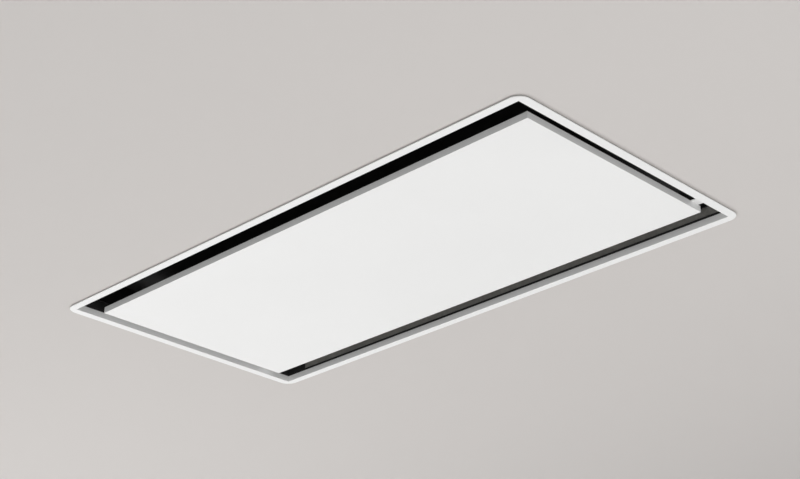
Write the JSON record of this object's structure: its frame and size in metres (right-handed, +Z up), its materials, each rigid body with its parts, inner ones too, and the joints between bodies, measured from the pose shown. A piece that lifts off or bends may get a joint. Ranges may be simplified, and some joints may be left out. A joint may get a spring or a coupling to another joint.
{
  "type": "ceiling range hood",
  "caption": "Flush ceiling range hood: white drop-down panel, air gap all round it, filters, blower, housing and round duct outlet.",
  "frame": {"origin": "centre of the visible lower face, in the plane of the flange's underside and the panel's face", "axes": "+X along the long sides, +Y towards the long side that the panel is hinged at, +Z up into the ceiling"},
  "size_m": [1, 0.5, 0.345],
  "materials": {
    "white_powder_coat": "fine matt powder coat",
    "galvanised_sheet": "galvanised, faint spangle",
    "black_coated_sheet": "matt black coat",
    "filter_aluminium": "mill finish",
    "zinc_plated_steel": "bright zinc plate",
    "spring_steel": "oiled",
    "black_plastic": "moulded, fine texture",
    "pale_foam": "pale closed-cell foam",
    "damping_sheet": "matt grained sheet",
    "mount_rubber": "moulded",
    "scroll_plastic": "moulded",
    "impeller_plastic": "moulded",
    "motor_casting": "die cast",
    "laminated_steel": "stacked sheet",
    "circuit_board": "solder mask",
    "capacitor_can": "drawn can",
    "ground_steel": "ground and bright",
    "damper_plastic": "moulded",
    "terminal_plastic": "moulded"
  },
  "bodies": {
    "root": {"trim_frame": "white_powder_coat", "trim_seal": "mount_rubber", "ceiling_gasket": "pale_foam", "housing_back": "galvanised_sheet", "housing_front": "galvanised_sheet", "housing_right_end": "galvanised_sheet", "housing_left_end": "galvanised_sheet", "housing_top": "galvanised_sheet", "housing_rivets": "zinc_plated_steel", "hanger_plates": "galvanised_sheet", "liner_walls": "black_coated_sheet", "baffle_plate": "black_coated_sheet", "baffle_angles": "galvanised_sheet", "machine_screws": "zinc_plated_steel", "filter_clips": "spring_steel", "hinge_brackets": "galvanised_sheet", "hinge_pins": "ground_steel", "catch_right_body": "black_plastic", "catch_left_body": "black_plastic", "catch_right_spring": "spring_steel", "catch_left_spring": "spring_steel", "scroll_right": "scroll_plastic", "scroll_left": "scroll_plastic", "inlet_rings": "galvanised_sheet", "motor_shell": "motor_casting", "motor_stator": "laminated_steel", "motor_bearings": "ground_steel", "motor_spider": "galvanised_sheet", "rubber_mounts": "mount_rubber", "blower_hangers": "galvanised_sheet", "outlet_adapter": "galvanised_sheet", "outlet_collar": "galvanised_sheet", "damper_rod": "ground_steel", "control_box": "galvanised_sheet", "control_lid": "galvanised_sheet", "control_board": "circuit_board", "terminal_block": "terminal_plastic", "cable_gland": "black_plastic", "motor_capacitor": "capacitor_can"},
    "panel": {"panel_skin": "white_powder_coat", "panel_stiffeners": "galvanised_sheet", "panel_pad": "damping_sheet", "panel_strikers": "zinc_plated_steel", "panel_rivets": "zinc_plated_steel", "hinge_arm_right": "white_powder_coat", "hinge_arm_left": "white_powder_coat"},
    "filter_right": {"filter_right_frame": "filter_aluminium", "filter_right_mesh": "filter_aluminium"},
    "filter_left": {"filter_left_frame": "filter_aluminium", "filter_left_mesh": "filter_aluminium"},
    "bail_right": {"filter_right_bail": "ground_steel"},
    "bail_left": {"filter_left_bail": "ground_steel"},
    "plunger_right": {"catch_right_plunger": "black_plastic"},
    "plunger_left": {"catch_left_plunger": "black_plastic"},
    "fan": {"impeller_disc": "impeller_plastic", "impeller_rims": "impeller_plastic", "impeller_blades": "impeller_plastic", "motor_shaft": "ground_steel"},
    "flap_front": {"damper_flap_front": "damper_plastic"},
    "flap_back": {"damper_flap_back": "damper_plastic"}
  },
  "joints": [
    {"name": "panel_hinge", "type": "hinge", "parent": "root", "child": "panel", "pos_m": [0, 0.1815, 0.02], "axis": [1, 0, 0], "range_deg": [0, 90]},
    {"name": "filter_right_tilt", "type": "hinge", "parent": "root", "child": "filter_right", "pos_m": [0.195, 0.112, 0.0716], "axis": [1, 0, 0], "range_deg": [0, 8]},
    {"name": "bail_right_swing", "type": "hinge", "parent": "filter_right", "child": "bail_right", "pos_m": [0.195, -0.1, 0.066], "axis": [1, 0, 0], "range_deg": [-70, 70]},
    {"name": "catch_right_push", "type": "slide", "parent": "root", "child": "plunger_right", "axis": [0, 0, 1], "range_m": [0, 0.004], "stiffness_N_per_m": 400, "springref_m": -0.004, "deforming": ["catch_right_spring"]},
    {"name": "filter_left_tilt", "type": "hinge", "parent": "root", "child": "filter_left", "pos_m": [-0.195, 0.112, 0.0716], "axis": [1, 0, 0], "range_deg": [0, 8]},
    {"name": "bail_left_swing", "type": "hinge", "parent": "filter_left", "child": "bail_left", "pos_m": [-0.195, -0.1, 0.066], "axis": [1, 0, 0], "range_deg": [-70, 70]},
    {"name": "catch_left_push", "type": "slide", "parent": "root", "child": "plunger_left", "axis": [0, 0, 1], "range_m": [0, 0.004], "stiffness_N_per_m": 400, "springref_m": -0.004, "deforming": ["catch_left_spring"]},
    {"name": "impeller_spin", "type": "hinge", "parent": "root", "child": "fan", "pos_m": [0, -0.0817, 0.217], "axis": [1, 0, 0], "continuous": true},
    {"name": "damper_back_swing", "type": "hinge", "parent": "root", "child": "flap_back", "pos_m": [0, 0, 0.316], "axis": [1, 0, 0], "range_deg": [0, 80]},
    {"name": "damper_front_swing", "type": "hinge", "parent": "root", "child": "flap_front", "pos_m": [0, 0, 0.316], "axis": [-1, 0, 0], "range_deg": [0, 80]}
  ]
}
